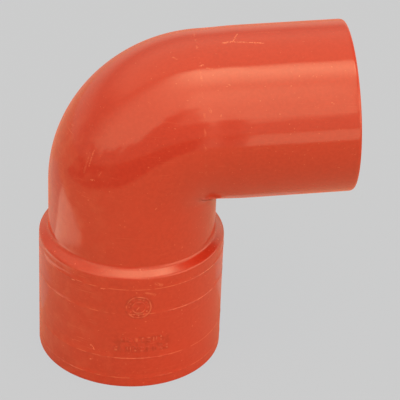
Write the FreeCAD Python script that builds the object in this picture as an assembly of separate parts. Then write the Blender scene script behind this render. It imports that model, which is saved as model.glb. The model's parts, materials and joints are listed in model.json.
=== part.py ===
import FreeCAD, Part
import math
import os

from FreeCAD import Vector

# A street elbow for solvent-welded drain pipe, injection moulded in one piece.
# A pipe goes into the socket at the bottom, and the spigot at the side goes into the next
# fitting's socket. Between them the waterway turns by 87.5 degrees, so that a branch laid
# level keeps its fall.
#
# Frame, in millimetres: the origin is the centre of the socket's mouth, +Z runs up the
# socket's axis, and the spigot leaves towards +X. The plane y = 0 is the mould's parting plane.

# The pipe that both ends are made for
pipe_diameter = 50.0
# How much wider than the pipe the socket's bore is, for the film of cement
cement_clearance = 0.3

# The socket
socket_wall = 2.3
socket_depth = 36.7
# The sloping shoulder outside: its lower edge lies this far above the pipe stop inside
shoulder_setback = 1.4
shoulder_height = 1.7
mouth_lead_in = 0.8
mouth_edge = 0.3

# The fine raised rings where the cavity's stacked inserts meet round the socket,
# each at a share of the socket's outside length above its mouth
ring_shares = (0.085, 0.27, 0.68, 0.90)
ring_width = 0.5
ring_height = 0.1

# The neck and the bend. The core bends a little more gently than the outside does,
# which leaves more wall at the heel and in the throat.
neck_diameter = 49.4
neck_length = 15.5
bend_angle = 87.5
bend_radius = 21.0
core_bend_radius = 22.6
leg_wall = 2.4

# The spigot, from the end of the bend to its own end, with the bevel that leads it in
spigot_length = 41.8
transition_length = 3.8
bevel_length = 1.1
bevel_depth = 0.6

# A rim that is cut off by the bend's axis is drawn as this many arcs,
# and the bend's skin is as many long strips
rim_arcs = 8
# How far a cutting form runs past the face that it opens
overrun = 1.0


def tangent(turn_radius):
    """How far before the crossing of the two axes a bend of this radius starts."""
    return turn_radius * math.tan(math.radians(bend_angle / 2))


# Sizes that follow from the ones above
spigot_radius = pipe_diameter / 2
neck_radius = neck_diameter / 2
socket_bore_radius = (pipe_diameter + cement_clearance) / 2
socket_radius = socket_bore_radius + socket_wall
shoulder_bottom = socket_depth + shoulder_setback
shoulder_top = shoulder_bottom + shoulder_height
# The height at which the spigot's axis crosses the socket's
crossing = shoulder_top + neck_length + tangent(bend_radius)
# How far beyond that crossing the spigot ends
spigot_reach = tangent(bend_radius) + spigot_length

UP = Vector(0, 0, 1)
ACROSS = Vector(0, 1, 0)


def turned(points):
    """Turns a closed half profile of (radius, height) points once round the Z axis."""
    places = [Vector(radius, 0, height) for radius, height in points]
    profile = Part.makePolygon(places + places[:1])
    return Part.Face(profile).revolve(Vector(0, 0, 0), UP, 360)


def laid_over(shape):
    """Tips a leg that stands on the socket's axis over into the spigot's direction."""
    shape.rotate(Vector(0, 0, crossing), ACROSS, bend_angle)
    return shape


def socket_outside():
    """The socket's outer form with its mouth edge, fine rings and sloping shoulder."""
    points = [(0, 0), (socket_radius - mouth_edge, 0), (socket_radius, mouth_edge)]
    for share in ring_shares:
        crest = share * shoulder_bottom
        points += [
            (socket_radius, crest - ring_width / 2),
            (socket_radius + ring_height, crest),
            (socket_radius, crest + ring_width / 2),
        ]
    points += [(socket_radius, shoulder_bottom), (neck_radius, shoulder_top), (0, shoulder_top)]
    return turned(points)


def socket_bore():
    """The bore that the pipe goes into, with its lead-in, up to the flat pipe stop."""
    return turned([
        (0, -overrun),
        (socket_bore_radius + mouth_lead_in + overrun, -overrun),
        (socket_bore_radius, mouth_lead_in),
        (socket_bore_radius, socket_depth),
        (0, socket_depth),
    ])


def neck(tube_radius, bottom, turn_radius):
    """The straight leg above the socket, from a given height to the start of its bend."""
    length = crossing - tangent(turn_radius) - bottom
    return Part.makeCylinder(tube_radius, length, Vector(0, 0, bottom), UP)


def rim(tube_radius, turn_radius, height):
    """The tube's section where its bend starts. Where the tube is wider than the bend's own
    radius, the section is cut off by the chord that lies on the bend's axis, and sweeping
    what is left gives the throat its sharp crease."""
    if tube_radius <= turn_radius:
        return Part.Wire(Part.makeCircle(tube_radius, Vector(0, 0, height), UP))
    first = math.acos(turn_radius / tube_radius)
    step = (2 * math.pi - 2 * first) / rim_arcs

    def at(steps):
        angle = first + steps * step
        return Vector(tube_radius * math.cos(angle), tube_radius * math.sin(angle), height)

    arcs = [Part.Arc(at(k), at(k + 0.5), at(k + 1)).toShape() for k in range(rim_arcs)]
    chord = Part.LineSegment(at(rim_arcs), at(0)).toShape()
    return Part.Wire(arcs + [chord])


def bend(tube_radius, turn_radius):
    """The turn from one leg to the other, swept round the bend's own axis."""
    start = crossing - tangent(turn_radius)
    section = Part.Face(rim(tube_radius, turn_radius, start))
    return section.revolve(Vector(turn_radius, 0, start), ACROSS, bend_angle)


def spigot_outside():
    """The spigot, with a short cone up from the bend's size and a bevel at its end."""
    start = crossing + tangent(bend_radius)
    end = crossing + spigot_reach
    return laid_over(turned([
        (0, start),
        (neck_radius, start),
        (spigot_radius, start + transition_length),
        (spigot_radius, end - bevel_length),
        (spigot_radius - bevel_depth, end),
        (0, end),
    ]))


def spigot_bore():
    """The spigot's waterway, one wall inside its outer form and open at its end."""
    start = crossing + tangent(core_bend_radius)
    end = crossing + spigot_reach + overrun
    return laid_over(turned([
        (0, start),
        (neck_radius - leg_wall, start),
        (spigot_radius - leg_wall, start + transition_length),
        (spigot_radius - leg_wall, end),
        (0, end),
    ]))


def elbow():
    """The moulding: its outer form, less everything that the cores leave open."""
    outside = socket_outside().fuse([
        neck(neck_radius, shoulder_bottom, bend_radius),
        bend(neck_radius, bend_radius),
        spigot_outside(),
    ])
    core_radius = neck_radius - leg_wall
    core = socket_bore().fuse([
        neck(core_radius, socket_depth - overrun, core_bend_radius),
        bend(core_radius, core_bend_radius),
        spigot_bore(),
    ])
    return outside.cut(core).removeSplitter()


body = elbow()
solid = body.Solids[0]
os.makedirs("parts", exist_ok=True)
solid.exportStep("parts/elbow.step")

box = solid.BoundBox
print("solids", len(body.Solids), "valid", solid.isValid(), "faces", len(solid.Faces))
print("box", [round(v, 3) for v in (box.XMin, box.XMax, box.YMin, box.YMax, box.ZMin, box.ZMax)])
print("volume", round(solid.Volume, 1), "centre", solid.CenterOfMass)
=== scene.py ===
# %% [markdown]
# # A street elbow in moulded PVC
# The object is one piece: a drain fitting with a socket below, a short neck, a bend of a little under a
# right angle and a spigot. The solid already has the right sizes.
# This notebook gives it the surface of a real moulding: rounded edges, the line where the
# mould closed, a raised date dial, gloss, and the scuffs of a fitting that has been handled.

import json
import math

import bmesh
import bpy
import numpy as np
from mathutils import Matrix, Vector
from mathutils.bvhtree import BVHTree


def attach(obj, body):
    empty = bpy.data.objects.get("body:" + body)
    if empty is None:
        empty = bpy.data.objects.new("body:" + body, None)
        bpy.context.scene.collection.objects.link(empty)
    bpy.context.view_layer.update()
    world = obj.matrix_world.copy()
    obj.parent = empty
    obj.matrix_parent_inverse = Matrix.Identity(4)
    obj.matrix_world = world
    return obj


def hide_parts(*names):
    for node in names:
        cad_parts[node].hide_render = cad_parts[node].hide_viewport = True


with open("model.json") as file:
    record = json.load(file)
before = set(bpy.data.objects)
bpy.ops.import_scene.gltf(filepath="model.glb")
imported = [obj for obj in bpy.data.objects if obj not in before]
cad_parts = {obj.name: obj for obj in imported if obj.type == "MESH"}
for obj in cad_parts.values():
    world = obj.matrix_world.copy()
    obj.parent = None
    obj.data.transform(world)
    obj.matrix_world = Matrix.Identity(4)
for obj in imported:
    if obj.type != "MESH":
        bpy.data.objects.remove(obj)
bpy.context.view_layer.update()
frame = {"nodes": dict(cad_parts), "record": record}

# %% [markdown]
# The places that mate with other parts are known to the frame, so the scene reads them from
# there. Only what no mount records, such as the neck and the bend, is written here again.
# Sizes are easier to judge in millimetres, so they are written in them and turned into
# Blender's metres at once.

# %% Sizes
MM = 0.001
mounts = {mount["name"]: mount for mount in frame["record"]["mounts"]}


def mount_size(name, key):
    """A dimension of a mount, in metres."""
    return mounts[name]["dims"][key] * MM


spigot_way = np.array(mounts["spigot"]["axis"])
bend_angle = math.atan2(spigot_way[0], spigot_way[2])
spigot_middle = np.array(mounts["spigot"]["pos_m"])
crossing = spigot_middle[2] - spigot_middle[0] / math.tan(bend_angle)
bore_middle = np.array(mounts["spigot_bore"]["pos_m"])
spigot_reach = bore_middle[0] / math.sin(bend_angle) + mount_size("spigot_bore", "length_mm") / 2

spigot_radius = mount_size("spigot", "r_mm")
spigot_bore_radius = mount_size("spigot_bore", "r_mm")
socket_bore_radius = mount_size("socket", "r_mm")
socket_wall = 2.3 * MM
socket_radius = socket_bore_radius + socket_wall
leg_wall = 2.4 * MM
neck_radius = 24.7 * MM
neck_bore_radius = neck_radius - leg_wall
bend_radius = 21.0 * MM
core_bend_radius = 22.6 * MM
transition_length = 3.8 * MM
pipe_stop = 36.7 * MM
shoulder_setback = 1.4 * MM
shoulder_height = 1.7 * MM
shoulder_bottom = pipe_stop + shoulder_setback
shoulder_top = shoulder_bottom + shoulder_height
half_turn_tangent = math.tan(bend_angle / 2)
bend_start = crossing - bend_radius * half_turn_tangent
print("bend of", round(math.degrees(bend_angle), 2), "degrees")
print("it starts", round(bend_start / MM, 2), "mm up")

# %% [markdown]
# The camera stands in front of the elbow and looks down on it. It could be aimed with a Track
# To constraint, but a view that has to repeat another one is easier to set by numbers: an
# azimuth and an elevation, a distance from a point inside the part, and a small roll.

# %% Where the camera stands
view_azimuth = math.radians(-7.887)
view_elevation = math.radians(31.22)
view_roll = math.radians(2.382)
view_centre = np.array([15.0, 0.0, 50.0]) * MM
view_distance = 600.0 * MM
view_shift = np.array([4.97, -2.27]) * MM


def camera_axes(azimuth, elevation, roll):
    """Right, up and back unit vectors of a camera that looks at the part. Back points from
    the part to the camera, and the roll turns right and up about it."""
    back = np.array([
        math.sin(azimuth) * math.cos(elevation),
        -math.cos(azimuth) * math.cos(elevation),
        math.sin(elevation),
    ])
    level = np.array([math.cos(azimuth), math.sin(azimuth), 0.0])
    upright = np.cross(back, level)
    right = level * math.cos(roll) + upright * math.sin(roll)
    up = -level * math.sin(roll) + upright * math.cos(roll)
    return right, up, back


right, up, back = camera_axes(view_azimuth, view_elevation, view_roll)
eye = view_centre + back * view_distance + right * view_shift[0] + up * view_shift[1]
print("the eye is at", np.round(eye / MM), "mm")

# %% [markdown]
# A Blender camera looks along its own minus Z, with X to its right and Y up. So the three unit
# vectors are the columns of its matrix. The focal length is given in pixels, as a fit of a view
# to an outline gives it, and one division by the picture's width turns it into a lens.

# %% Camera
IMAGE_WIDTH = 400
FOCAL_PIXELS = 2035.0
SENSOR_WIDTH_MM = 36.0
lens = bpy.data.cameras.new("view")
lens.sensor_width = SENSOR_WIDTH_MM
lens.lens = SENSOR_WIDTH_MM * FOCAL_PIXELS / IMAGE_WIDTH
lens.clip_start = 10 * MM
camera = bpy.data.objects.new("view", lens)
camera.matrix_world = Matrix([
    [right[0], up[0], back[0], eye[0]],
    [right[1], up[1], back[1], eye[1]],
    [right[2], up[2], back[2], eye[2]],
    [0, 0, 0, 1],
])
bpy.context.scene.collection.objects.link(camera)
bpy.context.scene.camera = camera
print("lens of", round(lens.lens, 1), "mm")

# %% [markdown]
# The moulding is a tube that is bent once. It could be a circle that follows a curve, but such
# a tube folds into itself in a tight throat. Here its skin is drawn as a grid: one direction
# runs round the tube, the other along it. The columns are angles, counted from the throat.
# They are even, but for a close bunch at the throat and the heel, where the mould's parting
# line needs width, and one that meets the corner of the throat's crease.

# %% Columns round the tube
EVEN_COLUMNS = 240
parting_half_width = 0.22 * MM
crease_angle = math.acos(bend_radius / neck_radius)


def column_angles():
    """Sorted angles round the tube: an even set, the crease's two ends, and three close
    columns at the throat and at the heel. An even one that lies within a tenth of the
    spacing of another is left out."""
    even = np.arange(EVEN_COLUMNS) * 2 * math.pi / EVEN_COLUMNS
    step = parting_half_width / neck_radius
    special = np.array([
        crease_angle, -crease_angle, step, -step, 2 * step, -2 * step,
        math.pi + step, math.pi - step, math.pi + 2 * step, math.pi - 2 * step,
    ]) % (2 * math.pi)
    too_close = 0.2 * math.pi / EVEN_COLUMNS
    near = np.abs(even[:, None] - special[None, :]).min(axis=1) < too_close
    angles = np.concatenate([even, special])
    keep = np.concatenate([~near, np.ones(len(special), bool)])
    return np.sort(angles[keep])


angles = column_angles()
around = np.cos(angles), np.sin(angles)
print(len(angles), "columns")

# %% [markdown]
# The mould was in two halves, and the plastic crept a little into the joint between them.
# That leaves a hair line along the heel and down the throat. A bump in the material could
# draw it, but a real rise in the two bunches of close columns also shows on the outline.

# %% Parting line
parting_height = 0.05 * MM


def parting_rise():
    """How far each column stands out: full at the throat and the heel, and none one bunch
    spacing away."""
    from_plane = np.abs(np.sin(angles)) * neck_radius
    return parting_height * np.clip(1 - from_plane / parting_half_width, 0, 1)


rise = parting_rise()
print(np.count_nonzero(rise), "columns stand out")

# %% [markdown]
# Straight legs are rings of one radius or another. In the throat the tube is wider than the
# bend's own radius, so the lines of the neck run into the lines of the spigot along a sharp
# crease instead of turning the corner. How far a column reaches past the bend's axis says
# how much of each leg the crease cuts away.

# %% Socket and neck as rings
def past_axis(radius, turn_radius):
    """How far each column of a tube lies beyond the axis of its bend, or 0."""
    return np.maximum(radius * around[0] - turn_radius, 0)


def lower_rings(profile):
    """Level rings on the socket's axis, from (radius, height) pairs. Radius may be one
    number or one for each column."""
    rings = []
    for radius, height in profile:
        radius = np.broadcast_to(radius, angles.shape)
        height = np.broadcast_to(height, angles.shape)
        rings.append(np.stack([radius * around[0], radius * around[1], height], axis=1))
    return np.array(rings)


def neck_rings(radius, bottom, turn_radius, count):
    """Rings up the neck, from a height to where each column's bend or crease begins."""
    top = crossing - turn_radius * half_turn_tangent
    top = top - past_axis(radius, turn_radius) * half_turn_tangent
    steps = np.linspace(0, 1, count)[:, None]
    height = bottom + steps * (top - bottom)
    x = np.broadcast_to(radius * around[0], height.shape)
    y = np.broadcast_to(radius * around[1], height.shape)
    return np.stack([x, y, height], axis=2)


throat_overlap = past_axis(neck_radius, bend_radius).max()
print("the throat reaches", round(throat_overlap / MM, 2), "mm past the bend's axis")

# %% [markdown]
# Round the bend, each column goes along an arc of a circle. On the spigot it runs straight
# again, and its radius may change along the way. Both are written as formulas of the column's
# angle and of the way along, so numpy works out all their points at once.

# %% Bend and spigot as rings
def bend_rings(radius, turn_radius, count):
    """Rings round the bend. A column goes along a circular arc about the bend's axis. One
    that lies beyond the axis stays at its place on the crease."""
    turned = np.linspace(0, bend_angle, count)[:, None]
    from_axis = np.maximum(turn_radius - radius * around[0], 0)
    beyond = past_axis(radius, turn_radius)
    start = crossing - turn_radius * half_turn_tangent
    x = turn_radius - from_axis * np.cos(turned) + beyond
    z = start + from_axis * np.sin(turned) - beyond * half_turn_tangent
    y = np.broadcast_to(radius * around[1], x.shape)
    return np.stack([x, y, z], axis=2)


def spigot_rings(radius_at, turn_radius, first_radius, stations):
    """Rings along the spigot. A station is a share of the way to the spigot's end, and each
    column starts where its bend or crease ends. The radius is a function of the distance
    from there and of the distance left, which lets the cone begin at the crease."""
    inward = np.array([-math.cos(bend_angle), math.sin(bend_angle)])
    length = spigot_reach - turn_radius * half_turn_tangent
    begin = past_axis(first_radius, turn_radius) * half_turn_tangent
    along = begin + (length - begin) * stations[:, None]
    radius = radius_at(along - begin, length - along)
    off_axis = turn_radius - radius * around[0]
    start = crossing - turn_radius * half_turn_tangent
    x = turn_radius + along * math.sin(bend_angle) + off_axis * inward[0]
    z = start + along * math.cos(bend_angle) + off_axis * inward[1]
    y = radius * around[1]
    return np.stack([x, y, z], axis=2)


outer_spigot_length = spigot_reach - bend_radius * half_turn_tangent
print("spigot of", round(outer_spigot_length / MM, 2), "mm")

# %% [markdown]
# Edges are where a moulding gives itself away. No mould has a truly sharp edge, so each
# corner of the profile is a few rings on a small arc, and its thin highlight comes by itself.
# A Bevel modifier would round them all alike, but the mouth is nearly sharp and the foot of
# the shoulder is soft, so each corner has a radius of its own.

# %% Rounded corners
mouth_edge = 0.3 * MM
shoulder_edge = 0.6 * MM
shoulder_fillet = 0.9 * MM


def corner(before, point, after, radius, count=5):
    """Points of a rounded corner: a curve from one leg to the other, of Bezier form with the
    sharp corner as its middle control point."""
    before, point, after = (np.array(p, float) for p in (before, point, after))
    towards = (before - point) / np.linalg.norm(before - point)
    onwards = (after - point) / np.linalg.norm(after - point)
    t = np.linspace(0, 1, count)[:, None]
    first = point + radius * towards
    last = point + radius * onwards
    return list((1 - t) ** 2 * first + 2 * t * (1 - t) * point + t ** 2 * last)


print("edges of", [round(edge / MM, 2) for edge in (mouth_edge, shoulder_edge, shoulder_fillet)], "mm")

# %% [markdown]
# The mould's cavity is a stack of inserts, and where two of them meet, a hair of plastic stands
# out. That is the fine ring that runs round such sockets. It rises slowly and falls steeply,
# and it comes and goes, because the inserts never match exactly. As geometry, and not as a
# bump, it catches the light on its true slope.

# %% Socket's profile
ring_heights = np.array([0.085, 0.27, 0.68, 0.90]) * shoulder_bottom
ring_rise = 0.5 * MM
ring_fall = 0.12 * MM
ring_height = 0.08 * MM


def fading(seed):
    """A fine ring's height as a share of its greatest. It comes and goes round the socket
    with the sum of three slow waves of random phase."""
    phases = np.random.default_rng(seed).uniform(0, 2 * math.pi, 3)
    waves = np.cos(angles * np.array([[2], [3], [5]]) + phases[:, None]).sum(axis=0) / 3
    return np.clip(0.6 + 0.8 * waves, 0.15, 1)


def socket_profile():
    """(radius, height) points up the socket, with its rounded mouth edge, its fine rings
    and its shoulder."""
    inside_mouth = (socket_radius - 1 * MM, 0)
    above_mouth = (socket_radius, 1 * MM)
    points = corner(inside_mouth, (socket_radius, 0), above_mouth, mouth_edge)
    reached = mouth_edge
    for number, crest in enumerate(ring_heights):
        points += [(socket_radius, h) for h in np.linspace(reached, crest - ring_rise, 6)[1:]]
        reached = crest + ring_fall
        points += [(socket_radius + ring_height * fading(number), crest), (socket_radius, reached)]
    top = (socket_radius, shoulder_bottom)
    inner = (neck_radius, shoulder_top)
    points += [(socket_radius, (reached + shoulder_bottom - shoulder_edge) / 2)]
    points += corner((socket_radius, reached), top, inner, shoulder_edge)
    points += corner(top, inner, (neck_radius, bend_start), shoulder_fillet, 8)
    return points


socket_points = socket_profile()
print(len(socket_points), "rings up the socket")

# %% [markdown]
# The spigot has the pipe's own size, a little more than the neck. The solid takes the step in a
# short cone. On the skin it is spread out in a soft curve, so that reflections run across it
# without a kink. The end is drawn in over its last millimetre, to start in the next socket.

# %% Spigot's profile
soft_transition = 11 * MM
bevel_length = 1.1 * MM
bevel_depth = 0.6 * MM


def outer_spigot_radius(from_start, from_end):
    """The spigot's outer radius: it grows from the neck's to its own over the transition,
    and falls over the last millimetre along a quarter of an ellipse."""
    grown = np.clip(from_start / soft_transition, 0, 1)
    radius = neck_radius + (spigot_radius - neck_radius) * (3 * grown ** 2 - 2 * grown ** 3)
    left = np.clip(1 - from_end / bevel_length, 0, 1)
    return radius - bevel_depth * (1 - np.sqrt(np.clip(1 - left ** 2, 0, 1)))


def spigot_stations():
    """Shares of the spigot's length: close over the transition, even along the middle and
    close again over the end's rounding."""
    close = np.linspace(0, soft_transition / outer_spigot_length, 14)
    rounding = 1 - np.sin(np.linspace(0, math.pi / 2, 7))
    edge = 1 - bevel_length / outer_spigot_length * rounding
    middle = np.linspace(close[-1], edge[0], 22)[1:-1]
    return np.concatenate([close[1:], middle, edge])


print(len(spigot_stations()), "rings along the spigot")

# %% [markdown]
# Now the four stretches are strung together, from the mouth up to the spigot's end. The first
# ring of each stretch is left out, because it would repeat the last one of the stretch before.

# %% Outer skin
def with_parting(radius):
    """A socket's radius with the parting line on it, no further out than the rings are."""
    return np.minimum(radius + rise * (radius >= socket_radius), socket_radius + ring_height)


outer = np.concatenate([
    lower_rings([(with_parting(radius), height) for radius, height in socket_points]),
    neck_rings(neck_radius, shoulder_top + shoulder_edge, bend_radius, count=14)[1:],
    bend_rings(neck_radius, bend_radius, count=80)[1:],
    spigot_rings(outer_spigot_radius, bend_radius, neck_radius, spigot_stations()),
])
print("outer skin", outer.shape)

# %% [markdown]
# Inside, the cores left a wide bore for the pipe, a flat stop where the pipe's end rests,
# and a plain round waterway. The core bends more gently than the outside, so here no crease
# is needed and every column turns the corner.

# %% Inner skin
mouth_lead_in = 0.8 * MM
cone_share = 0.11


def bore_profile():
    """(radius, height) points of the socket's bore, from its lead-in to the pipe stop."""
    lead_top = (socket_bore_radius, mouth_lead_in)
    stop = (socket_bore_radius, pipe_stop)
    lip = (neck_bore_radius, pipe_stop)
    points = [(socket_bore_radius + mouth_lead_in, 0)]
    points += corner(points[0], lead_top, stop, 0.2 * MM, 3)
    points += [(socket_bore_radius, h) for h in np.linspace(2 * MM, pipe_stop - 1 * MM, 12)]
    points += corner(lead_top, stop, lip, 0.3 * MM, 4)
    points += corner(stop, lip, (neck_bore_radius, crossing), 0.2 * MM, 3)
    return points


def inner_spigot_radius(from_start, from_end):
    """The waterway's radius along the spigot: a short cone, and then even to the end."""
    grown = np.clip(from_start / transition_length, 0, 1)
    return neck_bore_radius + (spigot_bore_radius - neck_bore_radius) * grown + 0 * from_end


along_cone = np.linspace(0, cone_share, 4)[1:]
inner_stations = np.concatenate([along_cone, np.linspace(cone_share, 1, 24)[1:]])
inner = np.concatenate([
    lower_rings(bore_profile()),
    neck_rings(neck_bore_radius, pipe_stop + 0.2 * MM, core_bend_radius, count=10)[1:],
    bend_rings(neck_bore_radius, core_bend_radius, count=56)[1:],
    spigot_rings(inner_spigot_radius, core_bend_radius, neck_bore_radius, inner_stations),
])
print("inner skin", inner.shape)

# %% [markdown]
# The outer rings and the inner rings, taken backwards, make one closed loop of rings: the
# last one joins the first at the mouth's rim. A Solidify modifier could make a wall too, but
# it would give one thickness all over and no stop for the pipe. Rings that share a point in
# the crease are merged, so the skin is watertight.

# %% Close the skin
def closed_grid(name, rings):
    """A mesh from rings of points that wrap both ways. Each face takes a point, its neighbour
    on the ring and the same two on the next ring."""
    count, size = rings.shape[:2]
    index = np.arange(count * size).reshape(count, size)
    next_column = np.roll(index, -1, axis=1)
    corners = [index, next_column, np.roll(next_column, -1, axis=0), np.roll(index, -1, axis=0)]
    quads = np.stack(corners, axis=2).reshape(-1, 4)
    mesh = bpy.data.meshes.new(name)
    mesh.from_pydata(rings.reshape(-1, 3).tolist(), [], quads.tolist())
    return mesh


def merged(mesh, distance):
    """Joins points that lie within a distance, and drops the faces that vanish. The volume
    that it prints is above zero when the faces point outwards."""
    work = bmesh.new()
    work.from_mesh(mesh)
    bmesh.ops.remove_doubles(work, verts=work.verts, dist=distance)
    bmesh.ops.dissolve_degenerate(work, edges=work.edges, dist=distance / 10)
    loose = sum(not edge.is_manifold for edge in work.edges)
    volume = round(work.calc_volume(signed=True) / MM ** 3, 2)
    work.to_mesh(mesh)
    work.free()
    print(mesh.name, len(mesh.polygons), "faces,", loose, "open edges,", volume, "cubic mm")
    return mesh


skin = merged(closed_grid("elbow_skin", np.concatenate([outer, inner[::-1]])), 0.001 * MM)

# %% [markdown]
# Smooth shading hides the facets. Where two faces meet at a steep angle, as in the crease and
# at the pipe stop, the edge is marked sharp, or the shading would smear round it.

# %% Shade the skin
SHARP_ABOVE = math.radians(32)
skin.shade_smooth()
skin.set_sharp_from_angle(angle=SHARP_ABOVE)
elbow = bpy.data.objects.new("elbow_moulding", skin)
bpy.context.scene.collection.objects.link(elbow)
print(elbow.name, "has", len(skin.vertices), "points")

# %% [markdown]
# A dressed skin must not change the part, so it is measured against the solid before it takes
# the solid's place. A tree of the solid's faces finds the nearest point of each one quickly.
# After that the skin rides on the part's one body.

# %% Compare the skin with the solid
def departure(mesh, solid):
    """The largest distance from a mesh's points to the solid's surface, in millimetres."""
    tree = BVHTree.FromObject(solid, bpy.context.evaluated_depsgraph_get())
    far = [tree.find_nearest(vertex.co)[3] for vertex in mesh.vertices]
    worst = int(np.argmax(far))
    return far[worst] / MM, [round(v / MM, 2) for v in mesh.vertices[worst].co]


print("largest departure from the solid, mm, and where", departure(skin, frame["nodes"]["elbow"]))
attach(elbow, "root")
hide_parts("elbow")

# %% [markdown]
# Marks on a fitting are cut into the mould, so they stand out of the wall. They could be text
# objects or a displacement map. Here each is a small closed body, drawn flat on a sheet and
# then wrapped round the socket's front, so that its foot is sunk in the wall.

# %% Drawing on the socket's front
mark_height = 0.1 * MM


def on_socket(across, upward, height):
    """Wraps a flat drawing round the socket's front. The distance across becomes an angle,
    and the height is added to the socket's radius."""
    turned = across / socket_radius
    reach = socket_radius + height
    return np.stack([reach * np.sin(turned), -reach * np.cos(turned), upward], axis=-1)


def add_piece(mesh):
    """Puts a finished mesh on the part, smoothly shaded."""
    mesh.shade_smooth()
    piece = bpy.data.objects.new(mesh.name, mesh)
    bpy.context.scene.collection.objects.link(piece)
    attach(piece, "root")
    return piece


print("marks stand", round(mark_height / MM, 2), "mm out")

# %% [markdown]
# Two kinds of body are enough. A pillow is a squashed ball with a squarish outline, for dots
# and strokes. A hoop is a flattened ring, for the rims of the dial.

# %% Pillows and hoops
def squarish(wave):
    """A sine or cosine pushed towards 1 and -1, which makes a rounded square of a circle."""
    return np.sign(wave) * np.abs(wave) ** 0.6


def grids_mesh(name, grids):
    """One mesh from several grids of points, (grid, row, column, 3), whose columns wrap."""
    count, rows, columns = grids.shape[:3]
    index = np.arange(count * rows * columns).reshape(count, rows, columns)
    ahead = np.roll(index, -1, axis=2)
    quads = np.stack([index[:, :-1], ahead[:, :-1], ahead[:, 1:], index[:, 1:]], axis=-1)
    mesh = bpy.data.meshes.new(name)
    mesh.from_pydata(grids.reshape(-1, 3).tolist(), [], quads.reshape(-1, 4).tolist())
    return mesh


def pillows(name, places, slant=0.0):
    """Low pillows, one for each (across, upward, half width, half height). On each, the
    height is the sine of a latitude, and the outline is a squarish ellipse whose size is the
    latitude's cosine."""
    places = np.array(places) * MM
    latitude = np.linspace(-math.pi / 2, math.pi / 2, 9)[None, :, None]
    longitude = (np.arange(20) * 2 * math.pi / 20)[None, None, :]
    wide = places[:, 2, None, None] * squarish(np.cos(longitude)) * np.cos(latitude)
    high = places[:, 3, None, None] * squarish(np.sin(longitude)) * np.cos(latitude)
    across = places[:, 0, None, None] + wide * math.cos(slant) - high * math.sin(slant)
    upward = places[:, 1, None, None] + wide * math.sin(slant) + high * math.cos(slant)
    height = mark_height * np.sin(latitude) + 0 * across
    return merged(grids_mesh(name, on_socket(across, upward, height)), 0.002 * MM)


def hoop(name, centre, radius, half_width):
    """A closed low hoop: a tube of elliptical section carried round a circle. The section
    is taken backwards, so that the faces point outwards."""
    around_hoop = (np.arange(72) * 2 * math.pi / 72)[:, None]
    section = (np.arange(10)[::-1] * 2 * math.pi / 10)[None, :]
    reach = radius + half_width * np.cos(section)
    across = centre[0] + reach * np.cos(around_hoop)
    upward = centre[1] + reach * np.sin(around_hoop)
    rings = on_socket(across, upward, mark_height * np.sin(section) + 0 * across)
    return merged(closed_grid(name, rings), 0.002 * MM)


pillow_corner = squarish(math.cos(math.pi / 4))
print("a pillow's corner lies at", round(float(pillow_corner), 2), "of its half width")

# %% [markdown]
# A moulder turns a small dial in the mould from month to month, and its print dates each
# fitting. This one is generic: a rim, a hub, twelve dots for the months and a pointer.

# %% Date dial
dial = np.array([-0.2, 28.2]) * MM
rim_radius = 3.55 * MM
hub_radius = 1.9 * MM
month_circle = 2.75
month_dot = np.full(12, 0.3)
month = np.arange(12) * 2 * math.pi / 12
months = np.stack([
    dial[0] / MM + month_circle * np.sin(month),
    dial[1] / MM + month_circle * np.cos(month),
    month_dot,
    month_dot,
], axis=1)
pointer = [(dial[0] / MM, dial[1] / MM, 0.25, 1.4)]
marks = [
    add_piece(hoop("dial_rim", dial, rim_radius, 0.28 * MM)),
    add_piece(hoop("dial_hub", dial, hub_radius, 0.2 * MM)),
    add_piece(pillows("dial_months", months)),
    add_piece(pillows("dial_pointer", pointer, slant=-0.6)),
]

# %% [markdown]
# Below the dial stand two rows of small raised signs. They spell nothing: posts, beams, blocks
# and dots follow each other, at the size and spacing that such rows have. Each kind is a few
# pillows, and a row repeats the kinds, so there is nothing to draw by hand.

# %% Rows of raised signs
row_height = 0.85


def sign_row(first, step, count, upward, kinds):
    """Places for a row of signs. A kind is a tuple of pillows, each given from the sign's
    centre, and the kinds follow each other in turn."""
    places = []
    for number in range(count):
        middle = first + number * step
        for across, up_from, half_width, half_height in kinds[number % len(kinds)]:
            places.append((middle + across, upward + up_from, half_width, half_height))
    return places


posts = ((-0.42, 0, 0.2, row_height), (0.42, 0, 0.2, row_height))
beam = ((0, 0.55, 0.6, 0.22), (0, -0.55, 0.6, 0.22))
block = ((0, 0, 0.5, row_height),)
dots = ((0, 0.5, 0.32, 0.3), (0, -0.5, 0.32, 0.3))
upper = sign_row(-4.4, 1.85, 7, 16.8, (posts, beam, block, dots, beam, posts, dots))
lower = sign_row(-6.6, 1.9, 9, 13.6, (block, posts, posts, dots, beam, block, posts, beam, dots))
marks.append(add_piece(pillows("size_signs", upper)))
marks.append(add_piece(pillows("batch_signs", lower)))
print(len(marks), "raised marks")

# %% [markdown]
# Rigid PVC is glossy, and its colour goes right through. A Principled shader needs little
# more than the colour and a low roughness. The reflections are a little warm, as they are on
# such a strongly coloured moulding, and a red sheen keeps its edges from turning grey. What
# is the same all over is set on the shader's own sockets here, and the rest follows as nodes.

# %% Plastic
pvc = bpy.data.materials.new("moulded_pvc_orange")
pvc.use_nodes = True
tree = pvc.node_tree
shader = tree.nodes["Principled BSDF"]
shader.inputs["IOR"].default_value = 1.78
shader.inputs["Specular Tint"].default_value = (1, 0.90, 0.68, 1)
shader.inputs["Sheen Weight"].default_value = 0.7
shader.inputs["Sheen Roughness"].default_value = 0.3
shader.inputs["Sheen Tint"].default_value = (1, 0.12, 0.03, 1)
for piece in [elbow] + marks:
    piece.data.materials.append(pvc)
print(pvc.name, "is on", len(marks) + 1, "pieces")

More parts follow.
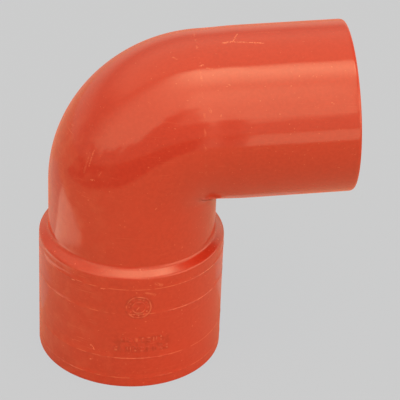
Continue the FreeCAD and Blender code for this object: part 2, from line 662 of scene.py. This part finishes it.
# %% [markdown]
# All patterns are placed by Object coordinates, which are metres on the part itself. They need
# no unwrapping, and they stay where they are on the skin from every side. The normal says which
# way the skin faces, because a side is rubbed more than a top. A helper adds each node and
# connects it, since a tree that is wired line by line soon gets long.

# %% Places on the skin
def add(tree, kind, inputs=(), **settings):
    """Adds a node, sets its properties, and sets or links its inputs by name or number."""
    node = tree.nodes.new(kind)
    for name, value in settings.items():
        setattr(node, name, value)
    for key, value in dict(inputs).items():
        if isinstance(value, bpy.types.NodeSocket):
            tree.links.new(value, node.inputs[key])
        else:
            node.inputs[key].default_value = value
    return node


place = add(tree, "ShaderNodeTexCoord").outputs["Object"]
where_x, where_y, where_z = add(tree, "ShaderNodeSeparateXYZ", {0: place}).outputs[:3]
normal = add(tree, "ShaderNodeNewGeometry").outputs["Normal"]
facing_up = add(tree, "ShaderNodeSeparateXYZ", {0: normal}).outputs["Z"]


def noise(scale, detail=2.0, vector=place):
    """Noise with features of about a scale-th of a metre."""
    settings = {"Vector": vector, "Scale": scale, "Detail": detail}
    return add(tree, "ShaderNodeTexNoise", settings).outputs[0]


print("patterns follow", place.name, "coordinates")

# %% [markdown]
# Where wear lies is worked out with sums: how far from a line, how near to a height, how much
# on this side. Each sum is a Math node, and most end in a smooth step, which fades a pattern
# in and out instead of cutting it off. Named helpers let the script read like the sums.

# %% Sums as nodes
def maths(tree, operation, *values, clamp=False):
    """A Math node's result, from numbers or sockets."""
    node = add(tree, "ShaderNodeMath", enumerate(values), operation=operation, use_clamp=clamp)
    return node.outputs[0]


def vector_maths(tree, operation, first, second):
    """A Vector Math node's result: a number for a dot product or a distance, or a vector."""
    node = add(tree, "ShaderNodeVectorMath", {0: first, 1: second}, operation=operation)
    return node.outputs["Value" if operation in ("DOT_PRODUCT", "DISTANCE") else "Vector"]


def smooth_step(tree, value, start, end):
    """A socket that goes smoothly from 0 at start to 1 at end."""
    node = add(tree, "ShaderNodeMapRange", {0: value, 1: start, 2: end, 3: 0.0, 4: 1.0},
               interpolation_type="SMOOTHSTEP")
    return node.outputs[0]


def times(tree, *values):
    """The product of several sockets or numbers."""
    product = values[0]
    for value in values[1:]:
        product = maths(tree, "MULTIPLY", product, value)
    return product


def largest(tree, *values):
    """The largest of several sockets or numbers."""
    most = values[0]
    for value in values[1:]:
        most = maths(tree, "MAXIMUM", most, value)
    return most


def away_from(tree, value, middle):
    """How far a value lies from a middle one, to either side."""
    return maths(tree, "ABSOLUTE", maths(tree, "SUBTRACT", value, middle))


on_side = smooth_step(tree, maths(tree, "ABSOLUTE", facing_up), 0.75, 0.4)
on_left = smooth_step(tree, where_x, 0.0, -22 * MM)
print(len(tree.nodes), "nodes say where a place on the skin is")

# %% [markdown]
# A fitting that has lain in a box with others has scuffs where it was knocked. A scuff scatters
# light, so it looks paler and duller than the plastic round it. It could be painted on an
# image. As the distance from a short segment on the skin it stays sharp at any zoom, and a
# list of segments is easy to change.

# %% Scuffs
def scuff(start, end, width, depth):
    """Full depth on a segment, given in millimetres, and none a width away from it. The
    nearest point lies at the share of the segment that the point's shadow on it reaches."""
    start, end = Vector(start) * MM, Vector(end) * MM
    along = end - start
    out = vector_maths(tree, "SUBTRACT", place, start)
    share = vector_maths(tree, "DOT_PRODUCT", out, along / along.length_squared)
    share = maths(tree, "MULTIPLY", share, 1.0, clamp=True)
    nearest = add(tree, "ShaderNodeVectorMath", {0: along, "Scale": share}, operation="SCALE")
    gap = vector_maths(tree, "DISTANCE", out, nearest.outputs[0])
    return times(tree, smooth_step(tree, gap, width * MM, 0.25 * width * MM), depth)


knocks = [
    ((24.3, -4.0, 101.2), (27.1, -3.7, 101.3), 0.6, 1.0),
    ((27.1, -3.5, 101.4), (28.8, 0.1, 101.7), 0.4, 0.8),
    ((27.1, -3.9, 101.3), (35.4, -5.3, 101.4), 0.42, 0.9),
    ((31.8, 0.1, 101.8), (40.9, -0.1, 102.2), 0.25, 0.35),
    ((9.6, -7.0, 98.5), (10.9, -8.1, 98.4), 0.4, 0.5),
    ((16.9, -11.6, 97.9), (17.8, -11.4, 98.1), 0.4, 0.6),
    ((18.8, -12.4, 97.6), (20.2, -12.8, 97.5), 0.4, 0.4),
    ((18.8, -20.9, 89.3), (19.2, -21.4, 88.6), 0.5, 0.6),
    ((-14.2, -17.7, 70.3), (-12.7, -16.9, 74.9), 0.35, 0.5),
    ((-15.5, -17.2, 68.1), (-13.8, -16.5, 73.8), 0.5, 0.3),
    ((-13.7, -19.2, 66.6), (-12.9, -19.8, 66.9), 0.4, 0.7),
    ((-11.5, -20.3, 68.5), (-11.0, -20.3, 69.7), 0.4, 0.5),
    ((-18.2, -6.1, 77.2), (-17.9, -7.1, 77.3), 0.4, 0.5),
    ((-11.0, -25.2, 33.8), (-9.6, -25.7, 34.0), 0.3, 0.9),
    ((-19.0, -19.9, 33.9), (-18.4, -20.4, 33.9), 0.35, 0.8),
    ((-13.6, -23.8, 13.3), (-12.7, -24.3, 12.0), 0.45, 0.9),
    ((-13.8, -23.7, 8.0), (-13.1, -24.1, 8.6), 0.4, 0.6),
    ((4.6, -27.1, 36.1), (6.4, -26.7, 35.3), 0.7, 0.4),
    ((1.8, -27.4, 33.2), (4.5, -27.1, 32.3), 0.5, 0.4),
    ((24.4, -16.9, 94.9), (24.8, -17.2, 94.7), 0.4, 0.5),
    ((53.0, -21.4, 90.6), (53.5, -21.5, 90.4), 0.35, 0.5),
]
broken_up = smooth_step(tree, noise(2400.0), 0.35, 0.6)
knocked = times(tree, largest(tree, *[scuff(*knock) for knock in knocks]), broken_up)
print(len(knocks), "scuffs")

# %% [markdown]
# Fine scratches are all over, most of them level, as from being turned in a hand or a box. A
# noise that is far finer across the lines than along them draws thousands at once. They are
# thicker on the left side, where a haze and a few pale specks go with them.

# %% Fine scratches, haze and specks
def streaks(stretch, tilt, threshold):
    """Thin lines: a noise that is far finer across the lines than along them, and shows
    only above a threshold."""
    settings = {"Vector": place, "Scale": stretch, "Rotation": tilt}
    drawn_out = add(tree, "ShaderNodeMapping", settings).outputs[0]
    return smooth_step(tree, noise(1.0, 3.0, drawn_out), threshold, threshold + 0.1)


level = streaks((110, 110, 2600), (0, 0.06, 0), 0.62)
slanting = streaks((240, 240, 2100), (0.3, -0.35, 0.2), 0.65)
patchy = smooth_step(tree, noise(90.0), 0.4, 0.7)
how_pale = maths(tree, "MULTIPLY_ADD", on_left, 0.3, 0.15)
fine = times(tree, largest(tree, level, slanting), how_pale, on_side, patchy)
haze = times(tree, smooth_step(tree, noise(260.0, 6.0), 0.42, 0.7), on_left, on_side, 0.14)
specks = times(tree, smooth_step(tree, noise(1300.0, 1.0), 0.72, 0.78), 0.4)
scratched = largest(tree, knocked, haze, fine, specks)
print(len(tree.nodes), "nodes so far")

# %% [markdown]
# The line where the bend's cavity met the spigot's sleeve shows as a faint broken seam. It is
# the set of points at one distance along the spigot, so a dot product with the spigot's
# direction finds it.

# %% Seam at the end of the bend
seam_from_bend_end = -2.2 * MM
turning_centre = Vector((bend_radius, 0, bend_start))
along_spigot = Vector((math.sin(bend_angle), 0, math.cos(bend_angle)))
from_centre = vector_maths(tree, "SUBTRACT", place, turning_centre)
past_bend = vector_maths(tree, "DOT_PRODUCT", from_centre, along_spigot)
from_seam = away_from(tree, past_bend, seam_from_bend_end)
on_seam = smooth_step(tree, from_seam, 0.5 * MM, 0.1 * MM)
above_socket = smooth_step(tree, where_z, crossing - 14 * MM, crossing)
seam = times(tree, on_seam, above_socket, smooth_step(tree, noise(700.0), 0.5, 0.7), 0.35)
print("seam", round(seam_from_bend_end / MM, 1), "mm from the bend's end")

# %% [markdown]
# What stands out is rubbed first, and it is also where the light catches. So the crests of the fine
# rings and the tops of the raised marks are paler in places: partly wear, partly painted highlight.
# Both are found by measuring: a crest by its height on the socket, a mark's top by its distance from
# the socket's axis.

# %% Painted highlights and wear on crests
squares = maths(tree, "ADD", times(tree, where_x, where_x), times(tree, where_y, where_y))
from_axis = maths(tree, "SQRT", squares)
skin_deep = smooth_step(tree, from_axis, socket_radius - 0.6 * MM, socket_radius - 0.3 * MM)
below_shoulder = smooth_step(tree, where_z, shoulder_bottom, shoulder_bottom - 0.5 * MM)
crests = 0.0
for crest in ring_heights:
    from_crest = away_from(tree, where_z, float(crest))
    crests = largest(tree, crests, smooth_step(tree, from_crest, 0.2 * MM, 0.05 * MM))
raised = smooth_step(tree, from_axis, socket_radius + 0.03 * MM, socket_radius + 0.08 * MM)
# pale tops: wear, and a painted highlight where the light would catch them
highlit_and_rubbed = times(tree, largest(tree, crests, raised), skin_deep, below_shoulder)
crest_highlight_and_wear = times(tree, highlit_and_rubbed, smooth_step(tree, noise(320.0), 0.42, 0.6), 0.45)
pale = largest(tree, scratched, seam, crest_highlight_and_wear)
print(len(ring_heights), "crests are rubbed")

# %% [markdown]
# Shade is painted into the hollows round the dial and between the signs, where a little grime goes with
# it, and along the throat's crease. The crease lies in the plane that halves the bend, so its distance
# is again one sum of the coordinates.

# %% Painted shade in the hollows and the crease
dial_centre = Vector((dial[0], -socket_radius, dial[1]))
in_dial = smooth_step(tree, vector_maths(tree, "DISTANCE", place, dial_centre), 4.6 * MM, 3.9 * MM)
rows_height = 15.2 * MM
rows_across = 1.0 * MM
in_rows = times(
    tree,
    smooth_step(tree, away_from(tree, where_z, rows_height), 3.2 * MM, 2.4 * MM),
    smooth_step(tree, away_from(tree, where_x, rows_across), 9.0 * MM, 7.5 * MM),
    smooth_step(tree, where_y, -20 * MM, -22 * MM),
)
in_patches = smooth_step(tree, noise(600.0), 0.4, 0.6)
# painted shade round the dial and the rows of signs, with a little grime
hollow_shade_and_grime = times(tree, largest(tree, in_dial, in_rows), in_patches, 0.55)

# a dark line of painted shade along the throat's crease
over_crossing = maths(tree, "SUBTRACT", where_z, float(crossing))
over_plane = maths(tree, "MULTIPLY_ADD", where_x, half_turn_tangent, over_crossing)
in_crease = times(
    tree,
    smooth_step(tree, maths(tree, "ABSOLUTE", over_plane), 0.8 * MM, 0.2 * MM),
    smooth_step(tree, where_x, bend_radius - 4.5 * MM, bend_radius - 2.0 * MM),
)
print("grime round the dial at", np.round(dial / MM, 1), "mm")

# %% [markdown]
# Pigment is never stirred in perfectly. So the orange drifts a little over some centimetres, and has a
# fine grain. Painted shade in the hollows and along the crease darkens it. Where it is scuffed, and on
# crests and mark tops where wear and a painted highlight lie, it turns a pale pink orange. Each step is
# one Mix node over the one before.

# %% Colour
PVC_COLOUR = (0.512, 0.0320, 0.0136, 1)
CLOUDED = (0.552, 0.0364, 0.0158, 1)
GRAINED = (0.595, 0.0430, 0.0192, 1)
# painted shade of the hollows, with a little grime
HOLLOW_SHADE_AND_GRIME = (0.40, 0.024, 0.009, 1)
# painted shade in the crease
PAINTED_CREASE_SHADE = (0.32, 0.014, 0.004, 1)
# pale of scuffs and wear, and painted highlight on crests and mark tops
PALE_WEAR_AND_HIGHLIGHT = (0.80, 0.19, 0.095, 1)


def blend(share, first, second):
    """A colour between two, as a Mix node."""
    mix = add(tree, "ShaderNodeMix", {0: share, 6: first, 7: second}, data_type="RGBA")
    return mix.outputs[2]


cloudy = smooth_step(tree, noise(38.0, 3.0), 0.3, 0.7)
grain = times(tree, smooth_step(tree, noise(1000.0), 0.35, 0.65), 0.45)
body_colour = blend(cloudy, PVC_COLOUR, CLOUDED)
body_colour = blend(grain, body_colour, GRAINED)
# painted shade in the hollows
body_colour = blend(hollow_shade_and_grime, body_colour, HOLLOW_SHADE_AND_GRIME)
# painted shade along the crease
body_colour = blend(in_crease, body_colour, PAINTED_CREASE_SHADE)
# pale: scuffs, seam and wear, and painted highlight on crests and mark tops
tree.links.new(blend(pale, body_colour, PALE_WEAR_AND_HIGHLIGHT), shader.inputs["Base Color"])
print("colour from", PVC_COLOUR[:3], "to", PALE_WEAR_AND_HIGHLIGHT[:3])

# %% [markdown]
# Roughness is how dull the plastic is. The walls were polished in the mould, though not quite evenly,
# and the sloping shoulder a little less. Scuffs and the crease are dull. Each adds its part to the one
# before, in a Multiply Add node.

# %% Gloss
POLISHED = 0.085
UNEVENLY_POLISHED = 0.06
SCUFFED = 0.3
DULL_CREASE = 0.4
LESS_POLISHED = 0.10
roughness = maths(tree, "MULTIPLY_ADD", noise(130.0), UNEVENLY_POLISHED, POLISHED)
roughness = maths(tree, "MULTIPLY_ADD", pale, SCUFFED, roughness)
roughness = maths(tree, "MULTIPLY_ADD", in_crease, DULL_CREASE, roughness)
over_edge = smooth_step(tree, where_z, shoulder_bottom - 0.3 * MM, shoulder_bottom + 0.1 * MM)
under_neck = smooth_step(tree, where_z, shoulder_top + 0.1 * MM, shoulder_top)
on_shoulder = times(tree, over_edge, under_neck, LESS_POLISHED)
tree.links.new(maths(tree, "ADD", roughness, on_shoulder), shader.inputs["Roughness"])
print("roughness from", POLISHED, "up")

# %% [markdown]
# The skin isn't quite flat: shrinking leaves it slightly wavy, which bends the edges of the
# reflections in it. Its grain and its scuffs stand out a few thousandths of a millimetre. A
# Bump node does that without more points. Its distance is one millimetre here, so the heights
# below are in millimetres.

# %% Relief
wave_height = 0.10
grain_height = 0.005
scuff_height = 0.008
relief = maths(tree, "MULTIPLY_ADD", noise(55.0), wave_height, times(tree, noise(1000.0), grain_height))
relief = maths(tree, "MULTIPLY_ADD", pale, scuff_height, relief)
bump = add(tree, "ShaderNodeBump", {"Height": relief, "Distance": MM, "Strength": 1.0})
tree.links.new(bump.outputs[0], shader.inputs["Normal"])
print(len(tree.nodes), "nodes in the plastic")

# %% [markdown]
# Gloss shows the room, so the room matters as much as the plastic. It could be built from
# lamps, but a glossy tube mirrors their hard shapes. Here the world itself is the room:
# its strength depends on the direction. Directions are turned into plain words first: degrees
# from the front, degrees of height, and places on a level ceiling overhead.

# %% Directions in the room
world = bpy.data.worlds.new("studio")
world.use_nodes = True
bpy.context.scene.world = world
sky = world.node_tree
way = add(sky, "ShaderNodeTexCoord").outputs["Generated"]
to_right, to_back, upward = add(sky, "ShaderNodeSeparateXYZ", {0: way}).outputs[:3]
to_front = maths(sky, "MULTIPLY", to_back, -1.0)
from_front = times(sky, maths(sky, "ARCTAN2", to_right, to_front), 180 / math.pi)
height = times(sky, maths(sky, "ARCSINE", upward), 180 / math.pi)
safe_up = maths(sky, "MAXIMUM", upward, 0.05)
overhead_right = maths(sky, "DIVIDE", to_right, safe_up)
overhead_front = maths(sky, "DIVIDE", to_front, safe_up)


def between(value, start, full, last, end):
    """Rises from 0 at start to 1 at full, and falls from last to 0 at end."""
    return times(sky, smooth_step(sky, value, start, full), smooth_step(sky, value, end, last))


print(world.name, "has", len(sky.nodes), "nodes")

# %% [markdown]
# In front, low down, the room is dim. The edge of that part against the bright wall is what
# draws the wavy border across the bend, so it is ragged to the left, with a high piece near
# the middle, and level to the right. Noise on the direction makes it ragged.

# %% Skyline in front
def skyline():
    """The height in degrees up to which the room in front is dim."""
    ragged = add(sky, "ShaderNodeTexNoise", {"Vector": way, "Scale": 11.0, "Detail": 6.0})
    left = maths(sky, "MULTIPLY_ADD", ragged.outputs[0], 26.0, -5.0)
    peak = times(sky, between(from_front, -36.0, -16.0, -6.0, 3.0), 28.0)
    right = times(sky, smooth_step(sky, from_front, -8.0, 3.0), 10.0)
    return maths(sky, "ADD", maths(sky, "ADD", left, peak), right)


above_skyline = smooth_step(sky, maths(sky, "SUBTRACT", height, skyline()), -0.6, 0.6)
print(world.name, "has", len(sky.nodes), "nodes")

# %% [markdown]
# A large soft panel hangs above and in front. Its back edge is right above the part, which is
# what ends the broad highlight along the spigot in a straight line. Its middle is brighter
# than its rim, so the highlight has a core. Its width is counted in its own height above the
# part, which is what a place on a level ceiling comes down to.

# %% Panel overhead
panel_left = -0.9
panel_right = 0.6
back_edge = smooth_step(sky, overhead_front, -0.03, 0.04)
high_up = smooth_step(sky, upward, 0.3, 0.5)
panel = times(sky, back_edge, high_up)
panel_wide = times(
    sky,
    panel,
    smooth_step(sky, overhead_front, 1.6, 0.5),
    between(overhead_right, panel_left, -0.1, 0.35, panel_right),
)
panel_core = times(
    sky,
    panel,
    smooth_step(sky, overhead_front, 0.58, 0.08),
    between(overhead_right, -0.5, 0.05, 0.45, panel_right),
)
print("the panel is", panel_right - panel_left, "of its own height wide")

# %% [markdown]
# The rest of the room is a pale dome that lights it evenly from all round, a bright wall in
# front, and softer patches that the fitting's sides and its shoulder pick up. Each is a range
# of directions. All are added, each times its strength, in one warm white.

# %% Parts of the light
# The wall in front, over the skyline
front_wall = times(sky, above_skyline, between(from_front, -100.0, -60.0, 30.0, 60.0))
# A tall stretch of it straight ahead, which is brighter
tall = times(
    sky,
    between(from_front, -16.0, -8.0, 11.0, 14.0),
    between(height, 16.0, 20.0, 52.0, 66.0),
)
# A gap in the dim part, low down from the middle to the right
gap_in_front = times(
    sky,
    between(from_front, 0.0, 5.0, 60.0, 80.0),
    between(height, -2.0, 0.0, 15.0, 19.0),
)
# The right side, which the shoulder and the right edges mirror
low_right = times(
    sky,
    between(from_front, 25.0, 50.0, 100.0, 120.0),
    between(height, -20.0, -10.0, 30.0, 42.0),
)
# A spot high up at the right
right_spot = times(
    sky,
    between(from_front, 42.0, 52.0, 80.0, 90.0),
    between(height, 50.0, 58.0, 68.0, 76.0),
)
# A dim stretch beyond the right side
behind_right = times(
    sky,
    between(from_front, 100.0, 120.0, 145.0, 160.0),
    between(height, -5.0, 5.0, 22.0, 38.0),
)
# The upper part of the wall behind
back_wall = times(
    sky,
    smooth_step(sky, to_front, 0.05, -0.1),
    smooth_step(sky, height, 20.0, 45.0),
    between(to_right, -0.95, -0.65, 0.2, 0.45),
)
# A band along the foot of the wall behind, for the top edges
horizon_behind = times(
    sky,
    smooth_step(sky, to_front, -0.2, -0.5),
    between(height, -3.0, 0.0, 10.0, 24.0),
)
print(world.name, "has", len(sky.nodes), "nodes")

# %% [markdown]
# The strengths stand together here, so that the balance of the room can be read at a glance and
# changed in one place. A Multiply Add node adds one part of the light to the sum so far.

# %% Strength of the light
WARM_WHITE = (1.0, 0.80, 0.62, 1)
strengths = [
    (1.0, 0.55),
    (front_wall, 0.80),
    (panel_wide, 0.38),
    (panel_core, 1.75),
    (tall, 0.42),
    (gap_in_front, 0.32),
    (low_right, 1.2),
    (right_spot, 1.8),
    (behind_right, 0.3),
    (back_wall, 0.5),
    (horizon_behind, 0.25),
]
light = 0.0
for part_of_room, strength in strengths:
    light = maths(sky, "MULTIPLY_ADD", part_of_room, strength, light)
background = sky.nodes["Background"]
background.inputs["Color"].default_value = WARM_WHITE
sky.links.new(light, background.inputs["Strength"])
print(len(strengths), "parts of the light")

# %% [markdown]
# The floor is plain pale grey. Most of what the camera sees of it is an even glow of that grey,
# mixed in for camera rays alone, so the background is level without more light on the part. The
# rest is a matt surface, which keeps the soft shadow under the fitting. The part has neither
# metal nor glass, so its reflections show that surface as it is lit.

# %% Floor
HALF_FLOOR = 3
PALE_GREY = (0.5960, 0.6125, 0.6240, 1)
SHARE_OF_GLOW = 0.94
floor_mesh = bpy.data.meshes.new("floor")
floor_corners = [(-HALF_FLOOR, -HALF_FLOOR, 0), (HALF_FLOOR, -HALF_FLOOR, 0),
                 (HALF_FLOOR, HALF_FLOOR, 0), (-HALF_FLOOR, HALF_FLOOR, 0)]
floor_mesh.from_pydata(floor_corners, [], [(0, 1, 2, 3)])
floor = bpy.data.objects.new("floor", floor_mesh)
bpy.context.scene.collection.objects.link(floor)

grey = bpy.data.materials.new("pale_floor")
grey.use_nodes = True
cloth = grey.node_tree
matt = cloth.nodes["Principled BSDF"]
matt.inputs["Base Color"].default_value = (0.60, 0.51, 0.42, 1)
matt.inputs["Roughness"].default_value = 0.9
matt.inputs["Specular IOR Level"].default_value = 0.0
glow = add(cloth, "ShaderNodeEmission", {0: PALE_GREY, 1: 1.0})
seen = add(cloth, "ShaderNodeLightPath").outputs["Is Camera Ray"]
share = maths(cloth, "MULTIPLY", seen, SHARE_OF_GLOW)
mix = add(cloth, "ShaderNodeMixShader", {0: share, 1: matt.outputs[0], 2: glow.outputs[0]})
cloth.links.new(mix.outputs[0], cloth.nodes["Material Output"].inputs[0])
floor_mesh.materials.append(grey)
print("floor of", 2 * HALF_FLOOR, "m")

# %% [markdown]
# A photographer lays white and dark cards round a glossy thing and watches what they do in its
# sides. The upright walls of the neck and the socket mirror the floor, so the cards lie there.
# The border of the one at the left becomes the border of the pale patch on the neck. The cards
# are hidden from the camera, cast no shadow and light nothing: they are only mirrored.

# %% Cards on the floor
def card(name, corners, strength):
    """A card that lies on the floor, from its corners in millimetres. It is only seen in
    reflections, so it lends the floor round it no light and takes none from it."""
    mesh = bpy.data.meshes.new(name)
    raised_corners = [(x * MM, y * MM, 1 * MM) for x, y in corners]
    mesh.from_pydata(raised_corners, [], [tuple(range(len(corners)))])
    piece = bpy.data.objects.new(name, mesh)
    bpy.context.scene.collection.objects.link(piece)
    piece.visible_camera = False
    piece.visible_shadow = False
    piece.visible_diffuse = False
    material = bpy.data.materials.new(name)
    material.use_nodes = True
    paper = material.node_tree
    glow = add(paper, "ShaderNodeEmission", {0: WARM_WHITE, 1: strength})
    paper.links.new(glow.outputs[0], paper.nodes["Material Output"].inputs[0])
    mesh.materials.append(material)
    return piece


left_corners = [(-84, -34), (-90, -34), (-104, -13), (-122, 6), (-150, 40),
                (-63, 40), (-72, 28), (-79, 14), (-83, 0), (-84, -14)]
dark_corners = [(34, -270), (108, -1800), (-1800, -1800), (-1800, 60), (-260, 60), (-190, -180)]
cards = [
    card("card_left", left_corners, 1.35),
    card("card_left_behind", [(-60, 40), (-150, 40), (-172, 125), (-60, 125)], 0.7),
    card("card_beside_left", [(-34, 12), (-59, 12), (-59, 75), (-34, 75)], 0.6),
    card("card_beside_right", [(34, 14), (60, 14), (60, 75), (34, 75)], 0.6),
    card("card_behind", [(-45, 95), (130, 95), (220, 600), (-150, 600)], 0.6),
    card("card_front", [(51, -270), (900, -270), (900, -1800), (225, -1800)], 1.5),
    card("card_front_edge", [(36, -270), (51, -270), (225, -1800), (110, -1800)], 0.75),
    card("card_dark", dark_corners, 0.28),
]
print(len(cards), "cards")

# %% [markdown]
# The Standard view transform shows colours as they are written, with no film look over them.

# %% Finish
bpy.context.scene.view_settings.view_transform = "Standard"
